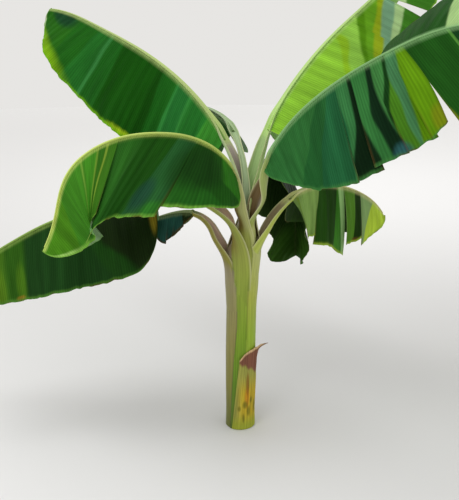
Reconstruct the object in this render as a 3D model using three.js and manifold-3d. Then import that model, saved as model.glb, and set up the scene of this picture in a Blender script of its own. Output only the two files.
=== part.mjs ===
// A young banana plant, rooted in the ground: one pseudostem of wrapped leaf sheaths, nine leaves
// that each have a petiole and a blade, and the withered sheath at the foot.
// Millimetres, +Z up. The origin is the centre of the flat cut under the pseudostem, at ground level.
// Seen from the front (from -Y) the lower left leaves point to -X and the largest leaf to +X.
import * as THREE from 'three';
import { mergeVertices } from 'three/addons/utils/BufferGeometryUtils.js';
import Module from 'manifold-3d';

const wasm = await Module();
wasm.setup();

const GAP = 0.3; // clearance between a leaf, its petiole and the stem
const DEG = Math.PI / 180;

const STEM_GREEN = 0x7f9a3f;
const HUSK_OCHRE = 0xb5a03a;
const SATIN = 0.5; // roughness of living parts
const MATT = 0.8; // roughness of dry parts

// Pseudostem: rings from the cut to the top, each with its height, lean to the right and half sizes.
const STEM_SIDES = 24;
const STEM_RINGS = [
  { z: 0, lean: 0, wide: 44, deep: 44 },
  { z: 60, lean: 0, wide: 43, deep: 43 },
  { z: 140, lean: 1, wide: 45, deep: 45 },
  { z: 240, lean: 2, wide: 46, deep: 46 },
  { z: 380, lean: 4, wide: 46, deep: 46 },
  { z: 460, lean: 5, wide: 49, deep: 47 },
  { z: 510, lean: 7, wide: 52, deep: 47 },
  { z: 560, lean: 10, wide: 52, deep: 45 },
  { z: 610, lean: 14, wide: 44, deep: 38 },
  { z: 650, lean: 18, wide: 32, deep: 27 },
];

// Withered sheath: it wraps the foot at the right front. Its left edge slants up over the stem, and
// its top corner curls away to the right. Its two side edges are in steps of the stem's ring.
const HUSK_THICK = 4;
const HUSK_CLEAR = 1.4;
const HUSK_FROM = 4; // height of the lower edge
const HUSK_TOP = 262;
const HUSK_DIP = 32; // how much lower the top is at the left edge
const HUSK_SWEEP = 5; // how fast the top edge rises from there
const HUSK_LEFT_LOW = -8;
const HUSK_LEFT_TOP = -6.2;
const HUSK_RIGHT = 2;
const HUSK_STEPS = 9;
const HUSK_ROWS = 8;
const HUSK_CURL = 46; // how far the curled corner stands off
const HUSK_CURL_SIDE = 6; // how late the curl sets in towards the right
const HUSK_CURL_RISE = 5; // how late it sets in over the upper half of the height
const HUSK_DROOP = 0.4; // how far the curl sinks, as a share of how far it stands off

// Blades: thickness, which is a hundredth of the longest leaf, and the steps of a sheet.
const BLADE_THICK = 9.5;
const STEPS_ALONG = 13;
const STEPS_ACROSS = 4;
const TIP_WIDTH = 0.05;
const MIDRIB_ROOT = 10;
const MIDRIB_TIP = 5.5;
const MIDRIB_END = 0.97;
const MIDRIB_SIDES = 8;
const MIDRIB_STEPS = 14;

// Petioles: half width and depth at the foot and at the neck, under the blade.
const PETIOLE_STEPS = 11;
const FOOT_TIP = 12; // half width at the very foot, which runs out into the stem
const FOOT_RUN = 0.2; // share of the petiole over which the foot swells to its full width
const FOOT_HALF = 30;
const NECK_HALF = 14;
const CHANNEL = 0.45; // depth of the channel as a share of the half width
const CHANNEL_EDGE = 0.6; // height over which the section is channel, as a share of the half depth
const PETIOLE_SIDES = 12;
const PETIOLE_DEEP = 0.9; // half depth as a share of the half width
const PETIOLE_TAPER = 0.7; // under 1 it narrows more near the foot

// Each leaf: foot of its midline, heading from +X towards +Y, climb over the horizontal at even
// steps from foot to tip, lengths, half width, fold of each half under the horizontal (right and
// left as seen from the stem), slant of the veins towards the tip, and the torn strips of a half.
// bend is the share of the blade where a leaf that bends right over is split into two pieces.
const LEAVES = {
  upper_left: {
    foot: [2, 8, 622],
    heading: [150, 143, 143, 143],
    climb: [110, 70, 49, 36, 26, 20, 18, 4],
    petiole: 262,
    blade: 800,
    half: 244,
    foldRight: [68, 52, 42, 42],
    foldLeft: [80, 70, 66, 58],
    curl: 14,
    slant: [-25, -14, 4, 32, 46],
    wave: 10,
    right: [
      { to: 0.26, reach: 0.64 },
      { to: 1 },
    ],
    colour: 0x1f5a1e,
    stalk: 0x9aa36a,
  },
  middle_left: {
    foot: [2, -22, 567],
    heading: [190, 203, 204, 206],
    climb: [99, 83, 47, 13, -5, -33, -75, -60],
    petiole: 212,
    blade: 747,
    half: 228,
    lobe: 0.3,
    foldRight: [60, 75, 84, 70],
    foldLeft: [30, 54, 60, 46, 36],
    bend: 0.55,
    curl: 14,
    slant: [-48, 28, 36, 32, 34],
    wave: 12,
    right: [
      { to: 0.35, reach: 0.8 },
      { to: 1 },
    ],
    left: [
      { to: 0.21, reach: 1.03, flare: 0.05 },
      { to: 0.5, reach: 1.24 },
      { to: 1, hang: -6, reach: 0.93 },
    ],
    colour: 0x24500f,
    stalk: 0x8a6a1a,
  },
  lower_left: {
    foot: [-5, -40, 462],
    heading: [190, 184, 183, 183],
    climb: [95, 70, 10, -10, -17, -29, -31, -42],
    petiole: 425,
    blade: 709,
    half: 215,
    foldRight: [50, 44, 42, 44],
    foldLeft: [45, 55, 64, 62],
    shoulder: 0.23,
    taper: 1.6,
    curl: 15,
    slant: [-8, 8, 22, 26, 38],
    wave: 12,
    colour: 0x183a10,
    stalk: 0x8f9a4a,
  },
  upright: {
    foot: [12, 10, 632],
    heading: [40, 35, 34, 33],
    climb: [79, 72, 53, 43, 35, 33, 20, 2],
    petiole: 270,
    blade: 916,
    half: 195,
    foldRight: [25, 36, 42, 45],
    foldLeft: [60, 50, 44, 44],
    curl: 10,
    slant: [-10, 8, 16, 24, 38],
    wave: 8,
    right: [
      { to: 0.45 },
      { to: 0.6, hang: 8, swing: 2, pinch: 0.1, reach: 0.9 },
      { to: 0.74, hang: 2, swing: 4, pinch: 0.1, reach: 0.85 },
      { to: 1, hang: 4, swing: 6, reach: 0.9 },
    ],
    colour: 0x7ab92d,
    stalk: 0xa9c878,
  },
  large_right: {
    foot: [30, -10, 592],
    heading: [-30, -24, -24, -24],
    climb: [80, 79, 57, 41, 31, 24, 2, -46],
    petiole: 215,
    blade: 820,
    half: 262,
    lobe: 0.42,
    foldRight: [48, 66, 74, 70],
    foldLeft: [60, 40, 10, 10],
    curl: 13,
    slant: [-8, -20, 0, 24, 38],
    wave: 10,
    right: [
      { to: 0.36, reach: 0.92, flare: 0.12 },
      { to: 0.42, hang: 3, pinch: 0.1 },
      { to: 0.49, hang: -2, pinch: 0.1, reach: 0.97 },
      { to: 0.56, hang: 2, pinch: 0.1, reach: 0.96 },
      { to: 0.6, hang: -3, pinch: 0.1, reach: 0.93, flare: -0.03 },
      { to: 1, swing: 4, pinch: 0.06 },
    ],
    left: [
      { to: 0.53 },
      { to: 0.8, hang: -38 },
      { to: 1, hang: -20 },
    ],
    colour: 0x25562a,
    stalk: 0x8f9a5a,
  },
  lower_right: {
    foot: [30, -12, 452],
    heading: [20, 42, 42, 42],
    climb: [84, 71, 39, 11, -6, -19, -30, -50],
    petiole: 290,
    blade: 500,
    half: 212,
    foldRight: [66, 70, 73, 60],
    foldLeft: [60, 60, 60, 60],
    curl: 12,
    slant: [-6, 4, 6, 12, 28],
    wave: 10,
    right: [
      { to: 0.25, swing: -11, pinch: 0.5, reach: 0.68 },
      { to: 0.5, hang: 4, swing: -4, pinch: -0.7, reach: 0.91, flare: 0.12 },
      { to: 0.68, hang: -4, swing: 2, pinch: 0.2, reach: 0.82, flare: -0.04 },
      { to: 1, hang: 2, swing: 8, reach: 0.84, flare: -0.06 },
    ],
    left: [
      { to: 0.45, reach: 0.6 },
      { to: 1, reach: 0.9 },
    ],
    colour: 0x6f9a40,
    stalk: 0xa9b85a,
  },
  hanging_back: {
    foot: [20, 20, 542],
    heading: [60, 68, 71, 72],
    climb: [95, 70, 25, -13, -33, -54, -78, -90],
    petiole: 330,
    blade: 585,
    half: 185,
    foldRight: [50, 55, 60, 60],
    foldLeft: [80, 74, 66, 60],
    bend: 0.5,
    curl: 12,
    slant: [-10, 10, 18, 24, 40],
    wave: 10,
    right: [
      { to: 0.28, reach: 0.72 },
      { to: 1 },
    ],
    colour: 0x1a2f14,
    stalk: 0x8f9a4a,
  },
  ragged_left: {
    foot: [-25, 0, 462],
    heading: [190, 178, 176, 176],
    climb: [82, 73, 69, 66, 38, 2, -14, -20],
    petiole: 235,
    blade: 120,
    half: 96,
    lobe: 0.85,
    foldRight: [60, 65, 65, 65],
    foldLeft: [60, 68, 72, 72],
    curl: 12,
    slant: [-10, 10, 18, 24, 40],
    wave: 6,
    right: [
      { to: 0.3, reach: 0.6, flare: 0.2 },
      { to: 1, reach: 0.9 },
    ],
    left: [
      { to: 0.22, reach: 0.45, flare: 0.2 },
      { to: 0.45, reach: 0.72, flare: 0.12 },
      { to: 0.62, reach: 0.84, flare: 0.06 },
      { to: 1 },
    ],
    colour: 0x1f4a44,
    stalk: 0x9a8f78,
  },
  small_back: {
    foot: [0, 25, 602],
    heading: [118, 112, 111, 110],
    climb: [120, 88, 48, 12, 2, -4, -12, -20],
    petiole: 320,
    blade: 600,
    half: 135,
    foldRight: [48, 44, 40, 42],
    foldLeft: [68, 64, 60, 60],
    curl: 12,
    slant: [-10, 10, 18, 24, 40],
    wave: 8,
    colour: 0x3f7a2a,
    stalk: 0xa6bf9a,
  },
};

const LINE_STEPS = 160;
const SHOULDER = 0.45; // share of the blade where it starts to narrow
const LOBE = 0.13; // share of the blade that its rounded base takes
const NECK_SHARE = 0.1; // half width at the very base, as a share of the whole
const TIP_POWER = 2.2;
const TIP_ROOT = 0.75;
const WAVES = 3; // waves of the margin along a blade
const WAVE_LAG = 0.3; // share of a wave by which the right half is ahead of the left
const WAVE_OUT = 1.6; // how late the wave sets in from the midrib to the margin

// Smooth reading of evenly spaced values at the share t of their length.
function pick(values, t) {
  const last = values.length - 1;
  const x = Math.min(Math.max(t, 0), 1) * last;
  const i = Math.min(Math.floor(x), last - 1);
  const f = x - i;
  const b = values[i];
  const c = values[i + 1];
  const a = i > 0 ? values[i - 1] : 2 * b - c;
  const d = i + 2 <= last ? values[i + 2] : 2 * c - b;
  const straight = (c - a) * f;
  const square = (2 * a - 5 * b + 4 * c - d) * f * f;
  const cube = (3 * b - a - 3 * c + d) * f * f * f;
  return 0.5 * (2 * b + straight + square + cube);
}

const along = (p, q, f) => p.clone().addScaledVector(q, f);

// Directions at the share u of a leaf's midline: along it, to its right, and up from its face.
function frameAt(leaf, u) {
  const az = pick(leaf.heading, u) * DEG;
  const el = pick(leaf.climb, u) * DEG;
  const flat = Math.cos(el);
  const t = new THREE.Vector3(flat * Math.cos(az), flat * Math.sin(az), Math.sin(el));
  const r = new THREE.Vector3(Math.sin(az), -Math.cos(az), 0);
  return { t, r, n: r.clone().cross(t) };
}

// Points along a leaf's midline, from the petiole's foot to the tip.
function midline(leaf) {
  const step = (leaf.petiole + leaf.blade) / LINE_STEPS;
  const line = [new THREE.Vector3(...leaf.foot)];
  for (let k = 0; k < LINE_STEPS; k += 1) {
    line.push(along(line[k], frameAt(leaf, (k + 0.5) / LINE_STEPS).t, step));
  }
  return line;
}

function pointAt(line, u) {
  const x = Math.min(Math.max(u, 0), 1) * (line.length - 1);
  const i = Math.min(Math.floor(x), line.length - 2);
  return line[i].clone().lerp(line[i + 1], x - i);
}

// Half width of a blade at the share t of its length: rounded base, even middle, blunt tip.
function halfWidth(leaf, t) {
  const lobe = leaf.lobe ?? LOBE;
  let share = 1;
  if (t < lobe) {
    share = NECK_SHARE + (1 - NECK_SHARE) * Math.sqrt(1 - (1 - t / lobe) ** 2);
  }
  const shoulder = leaf.shoulder ?? SHOULDER;
  if (t > shoulder) {
    const late = ((t - shoulder) / (1 - shoulder)) ** (leaf.taper ?? TIP_POWER);
    share *= Math.max(1 - late, 0) ** TIP_ROOT;
  }
  return leaf.half * Math.max(share, TIP_WIDTH);
}

// A closed solid from vertices and triangles.
function solid(points, triangles) {
  const vertProperties = new Float32Array(points.length * 3);
  points.forEach((p, i) => p.toArray(vertProperties, i * 3));
  const triVerts = new Uint32Array(triangles.flat());
  const made = new wasm.Manifold(new wasm.Mesh({ numProp: 3, vertProperties, triVerts }));
  return made.volume() > 0 ? made : solid(points, triangles.map(([a, b, c]) => [a, c, b]));
}

// A loft through rings that all have the same count of points, closed at both ends.
function loft(rings) {
  const n = rings[0].length;
  const triangles = [];
  for (let i = 0; i + 1 < rings.length; i += 1) {
    for (let k = 0; k < n; k += 1) {
      const a = i * n + k;
      const b = i * n + ((k + 1) % n);
      triangles.push([a, b, b + n], [a, b + n, a + n]);
    }
  }
  const last = (rings.length - 1) * n;
  const ends = THREE.ShapeUtils.triangulateShape(capOutline(rings[0]), []);
  ends.forEach(([a, b, c]) => triangles.push([a, c, b], [last + a, last + b, last + c]));
  return solid(rings.flat(), triangles);
}

// The outline of a ring in its own plane, which its first and middle points span.
function capOutline(ring) {
  const centre = ring.reduce((s, p) => s.add(p), new THREE.Vector3()).divideScalar(ring.length);
  const x = ring[0].clone().sub(centre).normalize();
  const out = new THREE.Vector3();
  ring.forEach((p, i) => {
    const q = ring[(i + 1) % ring.length].clone().sub(centre);
    out.add(p.clone().sub(centre).cross(q));
  });
  const y = out.normalize().cross(x);
  return ring.map((p) => {
    const v = p.clone().sub(centre);
    return new THREE.Vector2(v.dot(x), v.dot(y));
  });
}

// A closed sheet of even thickness round a grid of points.
function sheet(grid, thick) {
  const rows = grid.length;
  const cols = grid[0].length;
  const up = [];
  const down = [];
  for (let i = 0; i < rows; i += 1) {
    for (let j = 0; j < cols; j += 1) {
      const lengthways = grid[Math.min(i + 1, rows - 1)][j].clone().sub(grid[Math.max(i - 1, 0)][j]);
      const across = grid[i][Math.min(j + 1, cols - 1)].clone().sub(grid[i][Math.max(j - 1, 0)]);
      const n = lengthways.cross(across).normalize();
      up.push(along(grid[i][j], n, thick / 2));
      down.push(along(grid[i][j], n, -thick / 2));
    }
  }
  const below = rows * cols;
  const triangles = [];
  for (let i = 0; i + 1 < rows; i += 1) {
    for (let j = 0; j + 1 < cols; j += 1) {
      const a = i * cols + j;
      const b = a + 1;
      const c = a + cols;
      const d = c + 1;
      triangles.push([a, c, b], [b, c, d]);
      triangles.push([below + a, below + b, below + c], [below + b, below + d, below + c]);
    }
  }
  const edge = [];
  for (let j = 0; j < cols; j += 1) edge.push(j);
  for (let i = 1; i < rows; i += 1) edge.push(i * cols + cols - 1);
  for (let j = cols - 2; j >= 0; j -= 1) edge.push((rows - 1) * cols + j);
  for (let i = rows - 2; i > 0; i -= 1) edge.push(i * cols);
  edge.forEach((a, k) => {
    const b = edge[(k + 1) % edge.length];
    triangles.push([a, b, below + a], [b, below + b, below + a]);
  });
  return solid([...up, ...down], triangles);
}

// One torn strip of a half blade, from the midrib to the margin. side is 1 on the right.
function strip(leaf, line, side, torn) {
  const { from, to, hang = 0, swing = 0, pinch = 0, reach = 1, flare = 0 } = torn;
  const total = leaf.petiole + leaf.blade;
  const fold = side > 0 ? leaf.foldRight : leaf.foldLeft;
  const rows = Math.max(2, Math.round((to - from) * STEPS_ALONG));
  const middle = (from + to) / 2;
  const grid = [];
  for (let i = 0; i <= rows; i += 1) {
    const t = from + ((to - from) * i) / rows;
    const u = (leaf.petiole + leaf.blade * t) / total;
    const length = reach * (1 + flare * ((2 * i) / rows - 1));
    const step = (halfWidth(leaf, t) * length) / STEPS_ACROSS;
    const slant = (pick(leaf.slant, t) + swing) * DEG;
    const turn = 2 * Math.PI * (WAVES * t + (side > 0 ? WAVE_LAG : 0));
    const axes = frameAt(leaf, u);
    let q = pointAt(line, u);
    const row = [q];
    for (let j = 1; j <= STEPS_ACROSS; j += 1) {
      const bend = pick(fold, t) + hang + (leaf.curl * (j - 0.5)) / STEPS_ACROSS;
      const out = axes.r.clone().multiplyScalar(side * Math.cos(bend * DEG));
      out.addScaledVector(axes.n, -Math.sin(bend * DEG));
      q = along(along(q, out, step * Math.cos(slant)), axes.t, step * Math.sin(slant));
      const v = j / STEPS_ACROSS;
      const lift = axes.n.clone().multiplyScalar(Math.cos(bend * DEG));
      lift.addScaledVector(axes.r, side * Math.sin(bend * DEG));
      const p = along(q, lift, leaf.wave * Math.sin(turn) * v ** WAVE_OUT);
      row.push(p.addScaledVector(axes.t, -(t - middle) * pinch * v * leaf.blade));
    }
    grid.push(row);
  }
  return sheet(grid, BLADE_THICK);
}

// The midrib: round, tapering, a little proud of both faces.
function midrib(leaf, line) {
  const total = leaf.petiole + leaf.blade;
  const rings = [];
  for (let i = 0; i <= MIDRIB_STEPS; i += 1) {
    const t = (MIDRIB_END * i) / MIDRIB_STEPS;
    const u = (leaf.petiole + leaf.blade * t) / total;
    const r = MIDRIB_ROOT + (MIDRIB_TIP - MIDRIB_ROOT) * t;
    rings.push(ringAt(leaf, line, u, MIDRIB_SIDES, (a) => [r * Math.cos(a), r * Math.sin(a)]));
  }
  return loft(rings);
}

// A ring of points round the midline, from a rule for the section at each angle.
function ringAt(leaf, line, u, sides, section) {
  const { r, n } = frameAt(leaf, u);
  const centre = pointAt(line, u);
  const ring = [];
  for (let k = 0; k < sides; k += 1) {
    const [x, y] = section((2 * Math.PI * k) / sides);
    ring.push(along(along(centre, r, x), n, y));
  }
  return ring;
}

// A blade: its midrib and the strips of its two halves.
function bladeOf(leaf, line) {
  const pieces = [midrib(leaf, line)];
  for (const side of [1, -1]) {
    let from = 0;
    for (const s of (side > 0 ? leaf.right : leaf.left) ?? [{ to: 1 }]) {
      pieces.push(strip(leaf, line, side, { from, ...s }));
      from = s.to;
    }
  }
  return pieces.reduce((a, b) => a.add(b));
}

// The space beyond a leaf's midline at the share t of its blade: a box as long as the blade.
function beyond(leaf, line, t) {
  const u = (leaf.petiole + leaf.blade * t) / (leaf.petiole + leaf.blade);
  const far = leaf.blade;
  const near = ringAt(leaf, line, u, 4, (a) => [far * Math.cos(a), far * Math.sin(a)]);
  const ahead = frameAt(leaf, u).t;
  return loft([near, near.map((p) => along(p, ahead, far))]);
}

// The petiole: a limb with a round back and a channel along its upper face.
// grow makes it larger all round, to cut its neighbours clear of it.
function petioleOf(leaf, line, grow = 0) {
  const total = leaf.petiole + leaf.blade;
  const end = (leaf.petiole - GAP + grow) / total;
  const rings = [];
  for (let i = 0; i <= PETIOLE_STEPS; i += 1) {
    const s = i / PETIOLE_STEPS;
    const swell = Math.min(s / FOOT_RUN, 1);
    const broad = FOOT_HALF + (NECK_HALF - FOOT_HALF) * s ** PETIOLE_TAPER;
    const half = FOOT_TIP + (broad - FOOT_TIP) * swell + grow;
    const trough = CHANNEL * half - grow;
    rings.push(ringAt(leaf, line, s * end, PETIOLE_SIDES, (a) => {
      const inside = Math.sin(a) > CHANNEL_EDGE ? trough : 0;
      return [half * Math.cos(a), half * PETIOLE_DEEP * Math.sin(a) - inside];
    }));
  }
  return loft(rings);
}

function stemSolid(grow = 0) {
  const rings = STEM_RINGS.map(({ z, lean, wide, deep }) => {
    const ring = [];
    for (let k = 0; k < STEM_SIDES; k += 1) {
      const a = (2 * Math.PI * k) / STEM_SIDES;
      const x = lean + (wide + grow) * Math.cos(a);
      ring.push(new THREE.Vector3(x, (deep + grow) * Math.sin(a), z));
    }
    return ring;
  });
  return loft(rings);
}

// Half sizes and lean of the pseudostem at a height.
function stemAt(z) {
  const i = Math.max(STEM_RINGS.findIndex((ring) => ring.z >= z), 1);
  const [a, b] = [STEM_RINGS[i - 1], STEM_RINGS[i]];
  const f = (z - a.z) / (b.z - a.z);
  const mix = (key) => a[key] + (b[key] - a[key]) * f;
  return { lean: mix('lean'), wide: mix('wide'), deep: mix('deep') };
}

function huskSolid() {
  const grid = [];
  for (let i = 0; i <= HUSK_ROWS; i += 1) {
    const high = i / HUSK_ROWS;
    const start = HUSK_LEFT_LOW + (HUSK_LEFT_TOP - HUSK_LEFT_LOW) * high;
    const row = [];
    for (let k = 0; k <= HUSK_STEPS; k += 1) {
      const right = k / HUSK_STEPS;
      const a = (2 * Math.PI * (start + (HUSK_RIGHT - start) * right)) / STEM_SIDES;
      const top = HUSK_TOP - HUSK_DIP * (1 - right) ** HUSK_SWEEP;
      const z = HUSK_FROM + (top - HUSK_FROM) * high;
      const { lean, wide, deep } = stemAt(z);
      const rise = Math.max(0, 2 * high - 1) ** HUSK_CURL_RISE;
      const curl = HUSK_CURL * right ** HUSK_CURL_SIDE * rise;
      const off = HUSK_THICK / 2 + HUSK_CLEAR + curl;
      const x = lean + (wide + off) * Math.cos(a);
      row.push(new THREE.Vector3(x, (deep + off) * Math.sin(a), z - HUSK_DROOP * curl));
    }
    grid.push(row);
  }
  return sheet(grid, HUSK_THICK);
}

// The largest body of a solid that a cut has left in pieces.
function largest(made) {
  return made.decompose().sort((a, b) => b.volume() - a.volume())[0];
}

function meshOf(made, name, colour, roughness) {
  const { vertProperties, triVerts } = made.getMesh();
  const raw = new THREE.BufferGeometry();
  raw.setAttribute('position', new THREE.BufferAttribute(new Float32Array(vertProperties), 3));
  raw.setIndex(Array.from(triVerts));
  const geometry = mergeVertices(raw, 1e-3);
  geometry.computeVertexNormals();
  const material = new THREE.MeshStandardMaterial({ color: colour, roughness, metalness: 0 });
  const mesh = new THREE.Mesh(geometry, material);
  mesh.name = name;
  return mesh;
}

const plant = new THREE.Group();
plant.name = 'banana_plant';
plant.add(meshOf(stemSolid(), 'pseudostem', STEM_GREEN, SATIN));
plant.add(meshOf(largest(huskSolid().subtract(stemSolid(GAP))), 'husk', HUSK_OCHRE, MATT));

const lines = Object.fromEntries(
  Object.entries(LEAVES).map(([name, leaf]) => [name, midline(leaf)]),
);
const grown = Object.fromEntries(
  Object.entries(LEAVES).map(([name, leaf]) => [name, petioleOf(leaf, lines[name], GAP)]),
);
const stemGrown = stemSolid(GAP);
let placed = stemGrown;
for (const [name, leaf] of Object.entries(LEAVES)) {
  const limb = largest(petioleOf(leaf, lines[name]).subtract(placed));
  plant.add(meshOf(limb, `petiole_${name}`, leaf.stalk, SATIN));
  placed = placed.add(grown[name]);
}
for (const [name, leaf] of Object.entries(LEAVES)) {
  const blade = bladeOf(leaf, lines[name]).subtract(placed);
  if (leaf.bend) {
    const base = blade.subtract(beyond(leaf, lines[name], leaf.bend));
    const tip = blade.intersect(beyond(leaf, lines[name], leaf.bend + GAP / leaf.blade));
    plant.add(meshOf(largest(base), `leaf_${name}`, leaf.colour, SATIN));
    plant.add(meshOf(largest(tip), `leaf_${name}_tip`, leaf.colour, SATIN));
  } else {
    plant.add(meshOf(largest(blade), `leaf_${name}`, leaf.colour, SATIN));
  }
}

export default plant;
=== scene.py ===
# %% [markdown]
# # A young banana plant
# A banana plant has no wood. What looks like its trunk is a pseudostem: leaf sheaths wrapped round each
# other. Each sheath narrows into a petiole with a channel along its upper face, the petiole runs on as
# the midrib, and the blade hangs from it in two halves like the sides of a tent. Wind tears the blade
# along its side veins, from the margin in to the midrib.
#
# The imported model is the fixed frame. It holds the true sizes and the places of all the pieces, as
# thick plain solids. Each one is replaced here by a finer piece that grows by the same rule.

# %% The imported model
import bpy
import math
import numpy as np
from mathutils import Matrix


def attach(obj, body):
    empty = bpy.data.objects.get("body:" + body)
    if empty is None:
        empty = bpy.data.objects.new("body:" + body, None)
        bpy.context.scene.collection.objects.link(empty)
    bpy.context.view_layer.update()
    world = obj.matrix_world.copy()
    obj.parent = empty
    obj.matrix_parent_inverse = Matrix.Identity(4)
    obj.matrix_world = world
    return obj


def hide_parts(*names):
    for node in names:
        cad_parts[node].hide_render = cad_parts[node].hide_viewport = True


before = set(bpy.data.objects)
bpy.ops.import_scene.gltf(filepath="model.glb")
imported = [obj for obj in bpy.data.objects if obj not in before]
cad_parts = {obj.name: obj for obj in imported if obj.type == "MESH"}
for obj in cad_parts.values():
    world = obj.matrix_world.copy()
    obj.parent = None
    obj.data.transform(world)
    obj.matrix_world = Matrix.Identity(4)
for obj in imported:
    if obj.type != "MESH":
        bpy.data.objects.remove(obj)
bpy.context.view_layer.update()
MM = 0.001

# %% [markdown]
# ## The camera
# The plant was seen from a little above the crown, about 2.2 m away, looking down by 16 degrees: the
# foot of the pseudostem, its top and its even width in the picture only agree at that tilt.

# %% Camera
EYE = (-0.0307, -2.2, 1.1985)
TILT = 16.4
LENS = 57.6
SENSOR_WIDTH = 36

bpy.ops.object.camera_add(location=EYE, rotation=(math.radians(90 - TILT), 0, 0))
camera = bpy.context.object
camera.name = "camera"
camera.data.lens = LENS
camera.data.sensor_width = SENSOR_WIDTH
bpy.context.scene.camera = camera
print("camera at", tuple(round(x, 3) for x in camera.location), "lens", LENS)

# %% [markdown]
# ## Floor and light
# Daylight under a bright sky is broad and comes from above, so a pale dome gives most of the light. One
# large lamp high on the left stands in for the brightest part of the sky and gives the leaves their
# soft shine, a weaker one on the right keeps the shaded side readable, and one behind lights the far
# leaves. The view is left at Standard, because the softer views take the strength out of the greens.
#
# The floor could be a plane, but its far edge would draw a line behind the leaves. So it is a wide disc
# whose paper grows paler towards the rim, until it runs into the sky.

# %% Floor
FLOOR_RADIUS, FLOOR_CORNERS = 9, 96
bpy.ops.mesh.primitive_circle_add(vertices=FLOOR_CORNERS, radius=FLOOR_RADIUS, fill_type="NGON",
                                  location=(0, 0, 0))
floor = bpy.context.object
floor.name = "floor"
print("floor", FLOOR_RADIUS, "m in radius")

# %% Lights
LAMPS = [
    ("sky_left", (-1.6, -1.2, 3.6), 2.4, 95),
    ("sky_right", (2.4, -1.8, 2.6), 2.0, 30),
    ("sky_back", (0.6, 2.6, 3.2), 2.4, 55),
]
CROWN_HEIGHT = 0.8
SKY_COLOUR, SKY_STRENGTH = (1.0, 0.985, 0.96, 1), 0.8
for lamp_name, place, size, power in LAMPS:
    bpy.ops.object.light_add(type="AREA", location=place)
    lamp = bpy.context.object
    lamp.name = lamp_name
    lamp.data.size = size
    lamp.data.energy = power
    aim = [0 - place[0], 0 - place[1], CROWN_HEIGHT - place[2]]
    lamp.rotation_euler = (math.atan2(math.hypot(aim[0], aim[1]), -aim[2]), 0, math.atan2(aim[0], -aim[1]))
world = bpy.data.worlds.new("pale_sky")
world.use_nodes = True
world.node_tree.nodes["Background"].inputs["Color"].default_value = SKY_COLOUR
world.node_tree.nodes["Background"].inputs["Strength"].default_value = SKY_STRENGTH
bpy.context.scene.world = world
bpy.context.scene.view_settings.view_transform = "Standard"
print("lamps", len(LAMPS), "with", sum(lamp[3] for lamp in LAMPS), "W")

# %% [markdown]
# ## The rule of a leaf
# Each leaf is told by a few values: where its midline starts, which way it heads, how steeply it climbs
# from foot to tip, and how far each half is folded down. The values stand at even steps, and a smooth
# curve is read through them. Lengths are in millimetres and angles in degrees. The values are those of
# the solids, but for the hanging leaf, whose end is broader and blunter here.
#
# A torn half is a row of strips. Each ends at `to`, a share of the blade's length. `reach` is its length
# from the midrib, and `flare` makes its far side longer than its near side. `hang` folds it further down,
# `swing` leans it along the leaf, `pinch` draws its end together and `spread` widens it. `tilt` turns its
# face, and `bulge` rounds one side.

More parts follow.
